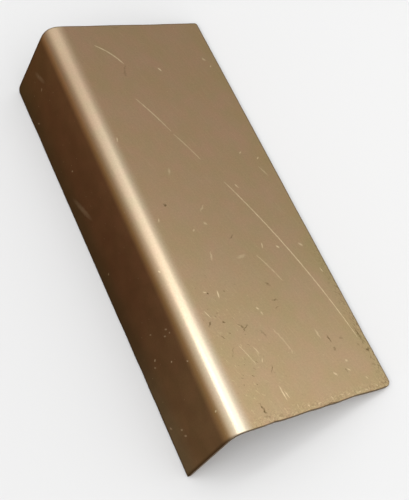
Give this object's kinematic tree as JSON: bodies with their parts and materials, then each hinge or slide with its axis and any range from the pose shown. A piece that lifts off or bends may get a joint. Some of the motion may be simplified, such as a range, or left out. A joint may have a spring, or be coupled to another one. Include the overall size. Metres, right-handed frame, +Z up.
{
  "type": "sheet metal angle",
  "caption": "Long unequal-leg angle folded from bronze sheet, with a rounded bend, flat flanges and eased corners, for trimming or protecting an edge or corner.",
  "frame": {"origin": "centre of the footprint, on the surface that both free edges stand on", "axes": "+Z up, +Y along the fold line from the near end to the far end, +X towards the free edge of the long flange, which slopes down to it from the bend"},
  "size_m": [0.0902, 0.195, 0.0357],
  "materials": {
    "bronze": "satin bronze, rubbed and scratched, bare metal"
  },
  "bodies": {
    "root": {"sheet_angle": "bronze"}
  },
  "joints": []
}
